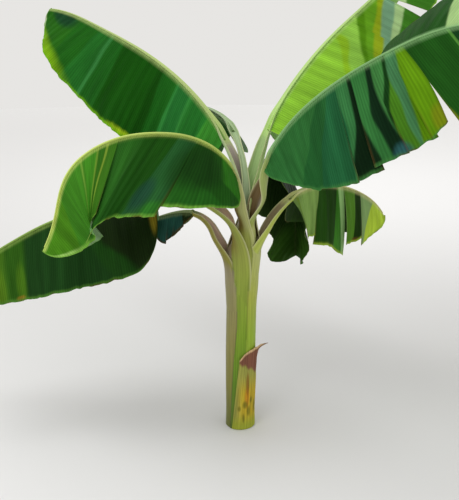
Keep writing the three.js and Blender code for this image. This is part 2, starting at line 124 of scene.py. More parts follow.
# %% Leaf values
LEAVES = {
    "upper_left": dict(
        foot=(2, 8, 622), heading=(150, 143, 143, 143), climb=(110, 70, 49, 36, 26, 20, 18, 4),
        petiole=262, blade=800, half=244, right_fold=(68, 52, 42, 42), left_fold=(80, 70, 66, 58),
        curl=14, slant=(-25, -14, 4, 32, 46), wave=10,
        right=[dict(to=0.26, reach=0.64), dict(to=1)]),
    "middle_left": dict(
        foot=(2, -22, 567), heading=(190, 203, 204, 206), climb=(99, 83, 47, 13, -5, -33, -75, -60),
        petiole=212, blade=747, half=228, lobe=0.3, right_fold=(60, 75, 84, 70),
        left_fold=(30, 54, 60, 46, 36), curl=14, slant=(-48, 28, 36, 32, 34), wave=12,
        nodes=("leaf_middle_left", "leaf_middle_left_tip"),
        right=[dict(to=0.35, reach=0.8), dict(to=1)],
        left=[dict(to=0.21, reach=1.03, flare=0.05), dict(to=0.5, reach=1.24),
              dict(to=1, hang=-6, reach=0.93)]),
    "lower_left": dict(
        foot=(-5, -40, 462), heading=(190, 184, 183, 183), climb=(95, 70, 10, -10, -17, -29, -31, -42),
        petiole=425, blade=709, half=215, right_fold=(50, 44, 42, 44), left_fold=(45, 55, 64, 62),
        shoulder=0.23, taper=1.6, curl=15, slant=(-8, 8, 22, 26, 38), wave=12),
    "upright": dict(
        foot=(12, 10, 632), heading=(40, 35, 34, 33), climb=(79, 72, 53, 43, 35, 33, 20, 2),
        petiole=270, blade=916, half=195, right_fold=(25, 36, 42, 45), left_fold=(60, 50, 44, 44),
        curl=10, slant=(-10, 8, 16, 24, 38), wave=8,
        right=[dict(to=0.45), dict(to=0.6, hang=8, swing=2, pinch=0.1, reach=0.9),
               dict(to=0.74, hang=2, swing=4, pinch=0.1, reach=0.85),
               dict(to=1, hang=4, swing=6, reach=0.9)]),
    "large_right": dict(
        foot=(30, -10, 592), heading=(-30, -24, -24, -24), climb=(80, 79, 57, 41, 31, 24, 2, -46),
        petiole=215, blade=820, half=262, lobe=0.42, right_fold=(48, 66, 74, 70),
        left_fold=(60, 40, 10, 10), curl=13, slant=(-8, -20, 0, 24, 38), wave=10,
        right=[dict(to=0.36, spread=0.06, reach=0.92, flare=0.12),
               dict(to=0.42, hang=3, pinch=0.1, tilt=9, spread=0.3),
               dict(to=0.49, hang=-2, pinch=0.1, tilt=10, spread=0.3, reach=0.97),
               dict(to=0.56, hang=2, pinch=0.1, tilt=9, spread=0.3, reach=0.96),
               dict(to=0.6, hang=-3, pinch=0.1, tilt=6, spread=0.3, bulge=0.014, reach=0.93, flare=-0.03),
               dict(to=1, swing=4, pinch=0.06)],
        left=[dict(to=0.53), dict(to=0.8, hang=-38), dict(to=1, hang=-20)]),
    "lower_right": dict(
        foot=(30, -12, 452), heading=(20, 42, 42, 42), climb=(84, 71, 39, 11, -6, -19, -30, -50),
        petiole=290, blade=500, half=212, right_fold=(66, 70, 73, 60), left_fold=(60, 60, 60, 60),
        curl=12, slant=(-6, 4, 6, 12, 28), wave=10,
        right=[dict(to=0.25, swing=-11, pinch=0.5, reach=0.68),
               dict(to=0.5, hang=4, swing=-4, pinch=-0.7, reach=0.91, flare=0.12),
               dict(to=0.68, hang=-4, swing=2, pinch=0.2, reach=0.82, flare=-0.04),
               dict(to=1, hang=2, swing=8, reach=0.84, flare=-0.06)],
        left=[dict(to=0.45, reach=0.6), dict(to=1, reach=0.9)]),
    "hanging_back": dict(
        foot=(20, 20, 542), heading=(60, 68, 71, 72), climb=(95, 70, 25, -13, -33, -54, -78, -90),
        petiole=330, blade=585, half=185, right_fold=(50, 55, 60, 60), left_fold=(80, 74, 66, 60),
        curl=12, slant=(-30, 10, 18, 26, 20), wave=10, shoulder=0.66, taper=2.4,
        nodes=("leaf_hanging_back", "leaf_hanging_back_tip"),
        right=[dict(to=0.28, reach=0.72), dict(to=1)]),
    "ragged_left": dict(
        foot=(-25, 0, 462), heading=(190, 178, 176, 176), climb=(82, 73, 69, 66, 38, 2, -14, -20),
        petiole=235, blade=120, half=96, lobe=0.85, right_fold=(60, 65, 65, 65),
        left_fold=(60, 68, 72, 72), curl=12, slant=(-10, 10, 18, 24, 40), wave=6,
        left=[dict(to=0.22, reach=0.45, flare=0.2), dict(to=0.45, reach=0.72, flare=0.12),
              dict(to=0.62, reach=0.84, flare=0.06), dict(to=1, reach=1)],
        right=[dict(to=0.3, reach=0.6, flare=0.2), dict(to=1, reach=0.9)]),
    "small_back": dict(
        foot=(0, 25, 602), heading=(118, 112, 111, 110), climb=(120, 88, 48, 12, 2, -4, -12, -20),
        petiole=320, blade=600, half=135, right_fold=(48, 44, 40, 42), left_fold=(68, 64, 60, 60),
        curl=12, slant=(-10, 10, 18, 24, 40), wave=8),
}
print("leaves", len(LEAVES))

# %% Curves and directions
LINE_STEPS = 320


def pick(values, share):
    """A smooth reading of evenly spaced values at shares from 0 to 1 of their length."""
    values = np.asarray(values, float)
    last = len(values) - 1
    x = np.clip(share, 0, 1) * last
    i = np.minimum(np.floor(x).astype(int), last - 1)
    f = x - i
    ends = ([2 * values[0] - values[1]], [2 * values[-1] - values[-2]])
    padded = np.concatenate([ends[0], values, ends[1]])
    a, b, c, d = padded[i], padded[i + 1], padded[i + 2], padded[i + 3]
    square = (2 * a - 5 * b + 4 * c - d) * f ** 2
    return 0.5 * (2 * b + (c - a) * f + square + (3 * b - a - 3 * c + d) * f ** 3)


def directions(leaf, share):
    """Along the midline, to its right, and up from the face of the leaf."""
    az = np.radians(pick(leaf["heading"], share))
    el = np.radians(pick(leaf["climb"], share))
    ahead = np.stack([np.cos(el) * np.cos(az), np.cos(el) * np.sin(az), np.sin(el)], -1)
    right = np.stack([np.sin(az), -np.cos(az), 0 * az], -1)
    return ahead, right, np.cross(right, ahead)


def midline(leaf):
    """Points along the leaf in millimetres, from the foot of the petiole to the tip."""
    length = leaf["petiole"] + leaf["blade"]
    ahead = directions(leaf, (np.arange(LINE_STEPS) + 0.5) / LINE_STEPS)[0]
    steps = np.cumsum(ahead * length / LINE_STEPS, 0)
    return np.concatenate([[leaf["foot"]], np.array(leaf["foot"]) + steps])


def on_line(line, share):
    """Points at shares of the midline."""
    places = np.clip(share, 0, 1) * (len(line) - 1)
    return np.stack([np.interp(places, np.arange(len(line)), line[:, k]) for k in range(3)], -1)


for leaf in LEAVES.values():
    leaf["line"] = midline(leaf)
    leaf["length"] = leaf["petiole"] + leaf["blade"]
print("highest tip at", round(max(leaf["line"][-1][2] for leaf in LEAVES.values())), "mm")

# %% [markdown]
# ## Sheets from grids
# A leaf bends, folds, narrows and waves all at once, which no turn or scale by hand gives. So each
# surface starts as a flat grid, and its points are then put where the leaf's rule says. The same helper
# carries three things along: a plain map in shares of the sheet, a map in real metres for the patterns
# on it, and a colour for each point.

# %% Grid helper
def deselect():
    """The operators act on all that is selected, so nothing is left selected."""
    if bpy.context.mode != "OBJECT":
        bpy.ops.object.mode_set(mode="OBJECT")
    bpy.ops.object.select_all(action="DESELECT")


def sheet(name, points, tone, span=(1, 1)):
    """A grid with its points, its colours, and maps in metres ("size") and in shares ("share")."""
    rows, cols = points.shape[0] - 1, points.shape[1] - 1
    deselect()
    bpy.ops.mesh.primitive_grid_add(x_subdivisions=rows, y_subdivisions=cols, size=1)
    piece = bpy.context.object
    piece.name = piece.data.name = name
    mesh = piece.data
    flat = np.empty(len(mesh.vertices) * 3)
    mesh.vertices.foreach_get("co", flat)
    flat = flat.reshape(-1, 3)
    i = np.rint((flat[:, 0] + 0.5) * rows).astype(int)
    j = np.rint((flat[:, 1] + 0.5) * cols).astype(int)
    mesh.vertices.foreach_set("co", (points[i, j] * MM).ravel())
    corner = np.empty(len(mesh.loops), int)
    mesh.loops.foreach_get("vertex_index", corner)
    shares = np.stack([i / rows, j / cols], -1)[corner]
    mesh.uv_layers[0].name = "share"
    mesh.uv_layers["share"].data.foreach_set("uv", shares.ravel())
    sizes = mesh.uv_layers.new(name="size")
    sizes.data.foreach_set("uv", (shares * np.array(span)).ravel())
    colours = mesh.color_attributes.new("tone", "FLOAT_COLOR", "POINT")
    rgba = np.ones((len(mesh.vertices), 4))
    rgba[:, :3] = tone[i, j]
    colours.data.foreach_set("color", rgba.ravel())
    mesh.update()
    return piece


# %% Join helper
def join(pieces, name):
    """Pieces of one thing become one mesh."""
    deselect()
    for piece in pieces:
        piece.select_set(True)
    bpy.context.view_layer.objects.active = pieces[0]
    if len(pieces) > 1:
        bpy.ops.object.join()
    made = bpy.context.object
    made.name = made.data.name = name
    return made


# %% [markdown]
# ## Colours
# Colours are given as a painter's hex values and turned to linear light by one function. A leaf's colours
# are dealt out by place: its face where it has no panels, its margin, its rib, its stalk with the shaded
# back and the channel, which has a darker side on one leaf, its groove.

# %% Colour helper
def linear(hex_colour):
    """Linear light of an sRGB hex colour."""
    srgb = np.array([(hex_colour >> shift & 255) / 255 for shift in (16, 8, 0)])
    return np.where(srgb <= 0.04045, srgb / 12.92, ((srgb + 0.055) / 1.055) ** 2.4)


def mix(a, b, share):
    """From a to b by a share that may be an array."""
    share = np.clip(np.asarray(share, float), 0, 1)[..., None]
    return a * (1 - share) + b * share


def ease(x, low, high):
    """0 below low, 1 above high, and smooth between."""
    f = np.clip((np.asarray(x, float) - low) / (high - low), 0, 1)
    return f * f * (3 - 2 * f)


# %% Chance along a line
CHANCES, CHANCE_START = 4096, 8


def drift(seed, places, step):
    """Smooth chance values between -1 and 1 along a line, one every step."""
    chance = np.random.default_rng(seed).uniform(-1, 1, CHANCES)
    x = np.asarray(places, float) / step + CHANCE_START
    i = np.floor(x).astype(int)
    f = x - i
    f = f * f * (3 - 2 * f)
    return chance[i % CHANCES] * (1 - f) + chance[(i + 1) % CHANCES] * f


print("a drift of five steps", drift(0, np.arange(5), 1).round(2))

# %% Leaf colours
PAINT = {
    "upper_left": dict(face=0x1F5A1E, margin=0x6AA514, rib=0xB4C97C, stalk=0xB2C493, channel=0xA69C90,
                       shade=0x8F9A6A),
    "middle_left": dict(margin=0x6FA53A, rib=0xC5D870, stalk=0xA4A868, channel=0x9C8450,
                        shade=0x755C22),
    "lower_left": dict(face=0x183A10, margin=0x4A7A2A, rib=0x8FAE55, stalk=0x929A44, channel=0xC0A488,
                       shade=0x8C7C34),
    # The upright leaf's lime is partly young tissue and partly painted light that shines through it from
    # behind.
    "upright": dict(face=0x7AB92D, margin=0x9FCB4A, rib=0xBFE08A, stalk=0xA9C878, channel=0xA6C282,
                    shade=0xA6C080),
    "large_right": dict(margin=0x3F7A3A, rib=0x8FBF7F, stalk=0x9DAC62, channel=0x9E9A8C,
                        shade=0x94A070, groove=0x75603A),
    "lower_right": dict(margin=0x9DBB3C, rib=0xC9C88A, stalk=0xAFBC54, channel=0x9C8A6C,
                        shade=0xA3A86A),
    "hanging_back": dict(margin=0x3A6416, rib=0x5F7A3F, stalk=0x8F9A4A, channel=0x6B5A22,
                         shade=0x7F8A3A),
    "ragged_left": dict(face=0x1F4A44, margin=0x4A3A1E, rib=0x7A8A5A, stalk=0x8E8838, channel=0xC9AF9C,
                        shade=0x8A7C50),
    "small_back": dict(face=0x24551C, margin=0x5F8F2A, rib=0xA3BC8C, stalk=0xA3BC8C, channel=0xAABE94,
                       shade=0x9CB482),
}
BROWN = 0x5A3A1C
# DARK_MARGIN is painted shade: the margin of lower_right's far half, painted dark together with its face.
DARK_MARGIN = 0x2A4416
for name, paint in PAINT.items():
    LEAVES[name]["paint"] = {part: linear(value) for part, value in paint.items()}
print("leaf paints", len(PAINT))

# %% [markdown]
# A torn or folded half is not one green. Young tissue is yellower and some panels have begun to fade. The
# rest of the difference is painted light and shade: a fold that turns to the light is painted lighter, and
# one that turns away or lies in a cast shadow is painted darker. So a half may have panels, each with its
# colour and the share of the blade where it ends, read at five places from the midrib to the margin. The
# border between two panels is crisp at a crease and softer on a smooth half.
#
# Spots lie on top of the panels: scorched tips, a yellowed corner, and a painted reflection of the blue sky
# in a hollow. Each has its place along and across the half, its two half sizes as shares, and its colour.

# %% Panels of the folded leaves
PANELS = {
    ("upper_left", -1): [
        (0x3F9030, (0.10, 0.11, 0.12, 0.12, 0.12)), (0x267028, (0.20, 0.20, 0.20, 0.20, 0.20)),
        (0x338036, (0.212, 0.212, 0.212, 0.212, 0.212)), (0x22682A, (0.27, 0.27, 0.27, 0.27, 0.27)),
        (0x318038, (0.28, 0.28, 0.284, 0.284, 0.284)), (0x1C5E18, (0.36, 0.35, 0.34, 0.34, 0.34)),
        (0x144A0A, (0.57, 0.56, 0.55, 0.55, 0.55)), (0x1C5A18, (0.625, 0.62, 0.61, 0.61, 0.61)),
        (0x357A3A, (0.64, 0.635, 0.625, 0.62, 0.62)), (0x206220, (0.70, 0.70, 0.69, 0.69, 0.69)),
        (0x1E5C16, (0.80, 0.79, 0.78, 0.76, 0.74)), (0x245F14, None)],
    ("middle_left", -1): [
        (0x2C6B1A, (0.09, 0.10, 0.10, 0.05, 0.03)), (0x1D4C14, (0.20, 0.215, 0.20, 0.13, 0.09)),
        (0x215818, (0.20, 0.215, 0.21, 0.21, 0.21)), (0x225226, (0.275, 0.28, 0.285, 0.29, 0.30)),
        (0x1B4A10, (0.40, 0.40, 0.41, 0.42, 0.44)), (0x265A1A, (0.50, 0.50, 0.50, 0.50, 0.50)),
        (0x3A6E1A, (0.535, 0.54, 0.555, 0.57, 0.58)), (0x7F9A34, (0.543, 0.548, 0.563, 0.576, 0.585)),
        (0x2F6416, (0.575, 0.578, 0.585, 0.595, 0.60)), (0x6F9030, (0.581, 0.585, 0.592, 0.60, 0.604)),
        (0x3A7A1C, (0.65, 0.645, 0.64, 0.64, 0.64)), (0x6F9838, (0.657, 0.652, 0.646, 0.645, 0.645)),
        (0x38741C, (0.80, 0.82, 0.84, 0.86, 0.88)), (0x437A18, None)],
    ("middle_left", 1): [(0x7F9C70, None)],
    # Painted shadow: the dark panels at the base of lower_left are the shadow cast on it by middle_left.
    ("lower_left", -1): [
        (0x1A2A10, (0.25, 0.24, 0.21, 0.14, 0.10)), (0x1C4214, (0.28, 0.27, 0.25, 0.22, 0.18)),
        (0x1A3C16, (0.53, 0.53, 0.53, 0.53, 0.53)), (0x2C5614, (0.60, 0.60, 0.60, 0.60, 0.60)),
        (0x2A5414, (0.62, 0.62, 0.62, 0.62, 0.62)), (0x3C6418, None)],
    # Painted light: upright's bright panels stand for sun shining through the young blade, on top of its
    # own yellower green.
    ("upright", 1): [
        (0x8CC438, (0.385, 0.34, 0.275, 0.24, 0.20)), (0x8AB824, (0.395, 0.38, 0.30, 0.26, 0.22)),
        (0x8CC248, (0.495, 0.43, 0.365, 0.31, 0.25)), (0x4F8410, (0.53, 0.47, 0.39, 0.33, 0.27)),
        (0x629C1E, (0.60, 0.53, 0.43, 0.35, 0.29)), (0x8EA41C, (0.66, 0.56, 0.485, 0.40, 0.32)),
        (0x74A07C, (0.70, 0.63, 0.555, 0.465, 0.38)), (0xA6C888, (0.80, 0.72, 0.62, 0.52, 0.42)),
        (0x3E7A22, None)],
    # Painted light and shade: each torn fold of large_right is lighter where it turns to the light and
    # darker where it turns away, and its teal panels are a painted reflection of the sky.
    ("large_right", 1): [
        (0x2C6630, (0.30, 0.25, 0.22, 0.16, 0.12)), (0x22592A, (0.33, 0.31, 0.28, 0.26, 0.24)),
        (0x205A34, (0.36, 0.366, 0.373, 0.365, 0.350)), (0x36743F, (0.405, 0.40, 0.393, 0.372, 0.358)),
        (0x0F2612, (0.415, 0.42, 0.42, 0.43, 0.44)), (0x347338, (0.472, 0.46, 0.447, 0.455, 0.46)),
        (0x102A16, (0.49, 0.478, 0.478, 0.485, 0.50)), (0x3F7C3E, (0.53, 0.51, 0.485, 0.486, 0.50)),
        (0x143A14, (0.54, 0.525, 0.50, 0.487, 0.50)), (0x44781C, (0.54, 0.525, 0.527, 0.52, 0.525)),
        (0x467F50, (0.575, 0.56, 0.548, 0.54, 0.53)), (0x5E8E0E, (0.60, 0.60, 0.60, 0.60, 0.60)),
        (0x1E5016, (0.735, 0.735, 0.735, 0.735, 0.735)), (0x56903A, (0.742, 0.742, 0.742, 0.742, 0.742)),
        (0x16401C, None)],
    # Painted shade: the dark first panel of large_right's far half, which rises behind the midrib.
    ("large_right", -1): [
        (0x1C4E12, (0.735, 0.715, 0.70, 0.69, 0.68)), (0xA9CF86, (0.80, 0.79, 0.78, 0.77, 0.76)),
        (0x98C058, (0.90, 0.90, 0.90, 0.90, 0.90)), (0x4F8A2A, None)],
    ("lower_right", 1): [
        (0x86A858, (0.27, 0.26, 0.25, 0.25, 0.25)), (0x234A10, (0.33, 0.33, 0.33, 0.34, 0.36)),
        (0x1E3F0E, (0.435, 0.42, 0.41, 0.40, 0.39)), (0x35701E, (0.445, 0.45, 0.46, 0.47, 0.48)),
        (0x86AE6C, (0.50, 0.50, 0.50, 0.50, 0.50)), (0x4F7C26, (0.62, 0.61, 0.60, 0.59, 0.58)),
        (0x1C360C, (0.68, 0.68, 0.68, 0.68, 0.68)), (0x7F9F62, (0.84, 0.80, 0.76, 0.73, 0.70)),
        (0xAECB3E, None)],
    # Painted shade: the far half of lower_right lies in the crown's shade and is painted dark.
    ("lower_right", -1): [(0x1E3412, None)],
    # Painted shade: the hanging leaf is painted dark towards its foot, deep in the crown's shade.
    ("hanging_back", 1): [(0x182C0F, (0.78, 0.74, 0.70, 0.66, 0.62)), (0x3A681A, None)],
    ("hanging_back", -1): [(0x182C0F, (0.78, 0.74, 0.70, 0.66, 0.62)), (0x3A681A, None)],
    ("ragged_left", -1): [(0x1A2A12, (0.30, 0.28, 0.26, 0.24, 0.22)), (0x234A40, None)],
}
SPOTS = {
    ("upper_left", -1): [
        (0.88, 0.20, 0.10, 0.30, 0x153C24), (0.40, 1.0, 0.10, 0.10, 0xA2C41C),
        (0.80, 1.05, 0.17, 0.30, 0x78A814), (0.97, 1.0, 0.05, 0.20, 0xB4D09A)],
    ("middle_left", -1): [
        (0.275, 0.74, 0.036, 0.24, 0x1D4430), (0.225, 0.92, 0.03, 0.14, 0x2A6A1E),
        (0.165, 0.38, 0.10, 0.45, 0x163A10),
        (0.87, 0.0, 0.15, 0.07, 0xA09A28), (0.94, 1.0, 0.10, 0.16, 0x9CC868)],
    ("lower_left", -1): [
        (0.555, 0.75, 0.03, 0.45, 0x426A16), (0.65, 0.75, 0.03, 0.50, 0x50761A),
        (0.655, 0.40, 0.010, 0.16, 0x7A4A22), (0.565, 0.96, 0.03, 0.06, 0x8A6A20),
        (0.01, 0.50, 0.03, 0.50, 0x8F7E24)],
    ("large_right", -1): [(0.56, 0.95, 0.03, 0.22, 0x5E2F1A)],
    # The bluish spot on large_right is a painted reflection of the sky.
    ("large_right", 1): [(0.485, 0.98, 0.03, 0.14, 0x2F5F60), (0.59, 0.90, 0.02, 0.20, 0x7A8A14)],
    ("lower_right", 1): [(0.60, 0.96, 0.05, 0.06, 0x5A3A1C)],
}
BORDER = 0.003
SOFT_BORDER = {"upright": 0.008, "lower_left": 0.016, "upper_left": 0.006, "middle_left": 0.005,
               "hanging_back": 0.06}
SPOT_STRENGTH = 0.9


# %% Paint of the panels
def panel_tone(name, side, t, v):
    """The colour of a half blade at shares along it (rows) and across it (columns)."""
    panels = PANELS.get((name, side)) or [(PAINT[name]["face"], None)]
    tone = np.broadcast_to(linear(panels[0][0]), (len(t), v.shape[1], 3))
    soft = SOFT_BORDER.get(name, BORDER)
    for (_, ends), (colour, _) in zip(panels, panels[1:]):
        past = t[:, None] - pick(ends, v)
        tone = mix(tone, linear(colour), ease(past, -soft, soft))
    for along, across, long, wide, colour in SPOTS.get((name, side), []):
        far = ((t[:, None] - along) / long) ** 2 + ((v - across) / wide) ** 2
        tone = mix(tone, linear(colour), SPOT_STRENGTH * (1 - ease(far, 0.1, 1.0)))
    return tone


print("halves with panels", len(PANELS))

# %% [markdown]
# ## Blades
# Each half blade is one grid, or one for each torn strip. Its rows run out from the midrib along the side
# veins, so the vein pattern follows the rows, and a tear follows a row too, as it follows a vein on the
# plant. The outline is drawn as one half width for each place: a rounded lobe at the petiole, a broad
# middle, and a taper from the shoulder to the tip.
#
# A blade is never flat. It waves slowly along its length, ripples at the margin, and is pleated along
# its veins. A true blade is half a millimetre thick. The sheet gets a little over a millimetre with
# Solidify, so that its edge catches the light. Its lower face and its edge take materials of their own.

# %% Outline of a blade
NECK, LOBE, SHOULDER, TAPER, TIP_ROOT, TIP_WIDTH = 0.1, 0.13, 0.45, 2.2, 0.75, 0.02
WAVES, WAVE_LAG, WAVE_OUT, RIPPLE_OUT = 3, 0.3, 1.6, 4
ROW_MM, ACROSS = 3.2, 26
FINE_ROW_MM, FINE_ACROSS = 2.2, 40  # for a half with panels, so that their borders are crisp


def half_width(leaf, t):
    """Half width of the blade in millimetres at the share t of its length."""
    lobe = leaf.get("lobe", LOBE)
    base = NECK + (1 - NECK) * np.sqrt(1 - (1 - np.minimum(t / lobe, 1)) ** 2)
    shoulder = leaf.get("shoulder", SHOULDER)
    late = np.clip((t - shoulder) / (1 - shoulder), 0, 1) ** leaf.get("taper", TAPER)
    return leaf["half"] * np.maximum(base * (1 - late) ** TIP_ROOT, TIP_WIDTH)


widest = max(half_width(leaf, np.linspace(0, 1, 50)).max() for leaf in LEAVES.values())
print("widest half", round(widest), "mm")

# %% Points of a blade
# Ragged margins are given as shares of the width and ripples in millimetres, each as a broad and a
# small one, with the millimetres from one chance value to the next.
MARGIN_RAGGED = ((0.012, 22), (0.008, 9))
RIPPLE = ((3.0, 45), (1.6, 18))
PLEAT_HIGH, PLEAT_MM, PLEAT_DRIFT_MM = 0.9, 27, 60
FEWEST_ROWS = 6


def strip_points(leaf, side, torn, seed, fine):
    """One strip's points, its rows' places in the blade, and their places in the strip."""
    row_mm, across = (FINE_ROW_MM, FINE_ACROSS) if fine else (ROW_MM, ACROSS)
    rows = max(FEWEST_ROWS, round((torn["to"] - torn["from"]) * leaf["blade"] / row_mm))
    t = torn["from"] + (torn["to"] - torn["from"]) * np.arange(rows + 1) / rows
    share = (leaf["petiole"] + leaf["blade"] * t) / leaf["length"]
    ahead, right, up = directions(leaf, share)
    fold = pick(leaf["right_fold" if side > 0 else "left_fold"], t) + torn.get("hang", 0)
    slant = np.radians(pick(leaf["slant"], t) + torn.get("swing", 0))[:, None]
    mm = t * leaf["blade"]
    (broad, broad_mm), (small, small_mm) = MARGIN_RAGGED
    ragged = 1 + broad * drift(seed, mm, broad_mm) + small * drift(seed + 1, mm, small_mm)
    reach = torn.get("reach", 1) * ragged
    local = (t - torn["from"]) / (torn["to"] - torn["from"])
    reach = reach * (1 + torn.get("flare", 0) * (2 * local - 1))
    step = (half_width(leaf, t) * reach / across)[:, None]
    turn = 2 * math.pi * (WAVES * t + (WAVE_LAG if side > 0 else 0))
    (broad, broad_mm), (small, small_mm) = RIPPLE
    ripple = broad * drift(seed + 2, mm, broad_mm) + small * drift(seed + 3, mm, small_mm)
    pleat = PLEAT_HIGH * np.sin(2 * math.pi * mm / PLEAT_MM + 2 * drift(seed + 4, mm, PLEAT_DRIFT_MM))
    tilt = torn.get("tilt", 0) * (1 - 2 * local)
    middle = (torn["from"] + torn["to"]) / 2
    place = on_line(leaf["line"], share)
    columns = [place]
    for j in range(1, across + 1):
        bend = np.radians(fold + leaf["curl"] * (j - 0.5) / across)[:, None]
        out = side * np.cos(bend) * right - np.sin(bend) * up
        place = place + (out * np.cos(slant) + ahead * np.sin(slant)) * step
        v = j / across
        lift = np.cos(bend) * up + side * np.sin(bend) * right
        rise = leaf["wave"] * np.sin(turn) * v ** WAVE_OUT + ripple * v ** RIPPLE_OUT
        rise = rise + pleat * min(1, 3 * v) * (1 - 0.3 * v) + tilt * v
        slide = (t - middle) * (torn.get("spread", 0) - torn.get("pinch", 0)) * v * leaf["blade"]
        slide = slide + torn.get("bulge", 0) * local * math.sin(math.pi * v) * leaf["blade"]
        columns.append(place + lift * rise[:, None] + ahead * slide[:, None])
    return np.stack(columns, 1), t, local


# %% Paint of a blade
MOTTLE = ((0.10, 34), (0.06, 11))
RIB_GLOW, RIB_GLOW_MM = 0.5, (6, 16)
MARGIN_STRENGTH, MARGIN_MM, MARGIN_UNEVEN, MARGIN_DRIFT_MM = 0.85, 4, 0.7, 70
DRY_STRENGTH, DRY_MM, DRY_DRIFT_MM = 0.7, (1, 5), 26
TEAR_STRENGTH, TEAR_MM = 0.45, (0.5, 4)


def strip_tone(name, side, torn, t, local, seed, across):
    """Panels, yellowed margin and browned tears, dealt out over the points of a strip."""
    leaf = LEAVES[name]
    paint = leaf["paint"]
    v = np.linspace(0, 1, across + 1)[None, :]
    mm = (t * leaf["blade"])[:, None]
    tone = panel_tone(name, side, t, v)
    (broad, broad_mm), (small, small_mm) = MOTTLE
    mottle = 1 + broad * drift(seed + 6, mm + 30 * v, broad_mm) + small * drift(seed + 7, mm, small_mm)
    tone = tone * mottle[..., None]
    out = v * half_width(leaf, t)[:, None] * torn.get("reach", 1)
    inward = out[:, -1:] - out
    tone = mix(tone, paint["rib"], RIB_GLOW * (1 - ease(out, *RIB_GLOW_MM)))
    width = MARGIN_MM * (1 + MARGIN_UNEVEN * drift(seed + 5, mm, MARGIN_DRIFT_MM))
    margin = linear(DARK_MARGIN) if (name, side) == ("lower_right", -1) else paint["margin"]
    tone = mix(tone, margin, MARGIN_STRENGTH * (1 - ease(inward, 0.4 * width, 2.2 * width)))
    dry = ease(drift(seed + 8, mm, DRY_DRIFT_MM), 0.35, 0.8)
    tone = mix(tone, linear(BROWN), DRY_STRENGTH * dry * (1 - ease(inward, *DRY_MM)))
    for end, cut in ((torn["from"] > 0, local), (torn["to"] < 1, 1 - local)):
        if end:
            rim = 1 - ease(cut[:, None] * leaf["blade"] * (torn["to"] - torn["from"]), *TEAR_MM)
            tone = mix(tone, linear(BROWN), TEAR_STRENGTH * rim * ease(v + 0 * mm, 0.45, 0.95))
    return tone


# %% Blades
BLADE_MM = 1.2


def strips_of(leaf, side):
    """The strips of one half with their start."""
    start = 0
    for torn in leaf.get("right" if side > 0 else "left", [dict(to=1)]):
        yield {"from": start, **torn}
        start = torn["to"]


blades = {}
for number, (name, leaf) in enumerate(LEAVES.items()):
    parts = []
    for side in (1, -1):
        for count, torn in enumerate(strips_of(leaf, side)):
            seed = 1000 * number + 100 * count + (50 if side > 0 else 0)
            points, t, local = strip_points(leaf, side, torn, seed, (name, side) in PANELS)
            tone = strip_tone(name, side, torn, t, local, seed, points.shape[1] - 1)
            if side > 0:
                points, tone = points[:, ::-1], tone[:, ::-1]
            span = ((torn["to"] - torn["from"]) * leaf["blade"] * MM, leaf["half"] * MM)
            parts.append(sheet(f"strip_{name}", points, tone, span))
    blade = join(parts, f"blade_{name}")
    solidify = blade.modifiers.new("thickness", "SOLIDIFY")
    solidify.thickness = BLADE_MM * MM
    solidify.offset = 0
    solidify.material_offset = 1
    solidify.material_offset_rim = 2
    blades[name] = blade
    print(blade.name, len(blade.data.polygons), "faces in", len(parts), "strips")

# %% [markdown]
# ## The sheaths of the stem
# The petioles grow out of the sheaths that make the stem, so the stem's sizes come first. It leans a
# little and thickens under the crown, where the last sheaths part. Between its outer sheaths run
# seams, and each sheath has its own colours from foot to top: the older ones are browner and more
# weathered, and the one in front is the freshest green.

# %% Stem sizes
# Each ring: its height, how far the stem leans there, and its half sizes across and in depth.
STEM_RINGS = np.array([
    (0, 0, 44, 44), (60, 0, 43, 43), (140, 1, 45, 45), (240, 2, 46, 46), (380, 4, 46, 46),
    (460, 5, 49, 47), (510, 7, 52, 47), (560, 10, 52, 45), (610, 14, 44, 38), (650, 18, 32, 27)], float)


def stem_at(z):
    """Lean and half sizes of the pseudostem at a height, in millimetres."""
    return tuple(np.interp(z, STEM_RINGS[:, 0], STEM_RINGS[:, k]) for k in (1, 2, 3))


print("stem", 2 * STEM_RINGS[:, 2].max(), "mm at its thickest")

# %% Seams of the sheaths
# Each seam runs up the stem through its azimuths at its heights, and its sheath stands `step` mm proud.
SEAMS = [
    dict(heights=(0, 90, 225, 290, 330, 420, 500, 560), azimuths=(226, 232, 243, 250, 254, 252, 240, 224),
         step=2.2),
    dict(heights=(0, 290, 420, 500, 560), azimuths=(288, 290, 292, 298, 301), step=1.8),
    dict(heights=(0, 300, 560), azimuths=(20, 32, 50), step=2.0),
    dict(heights=(0, 300, 560), azimuths=(120, 112, 100), step=1.8),
]


def seam_at(seam, z):
    """The azimuth of a seam at a height."""
    return np.interp(z, seam["heights"], seam["azimuths"])


print("seams", len(SEAMS), "at the foot at", [float(seam_at(seam, 0)) for seam in SEAMS], "degrees")

# %% Colours of the sheaths
# One row for each sheath, from the foot to the top.
BAND_HEIGHTS = (0, 150, 300, 420, 560)
BANDS = [
    (0x586A28, 0x5F8422, 0x7C9C28, 0x8A9F38, 0x9AA348),
    (0x8FA03F, 0x8FA83A, 0x93B034, 0xA8B048, 0xB6BC74),
    (0x8A8A3A, 0x93974A, 0x97A050, 0x9AA455, 0x9AA455),
    (0x6A7034, 0x84803E, 0x908A50, 0x96905F, 0xA0927A),
]
SEAM_SHADE, SEAM_SHADE_DEG = 0.72, (0.5, 5)


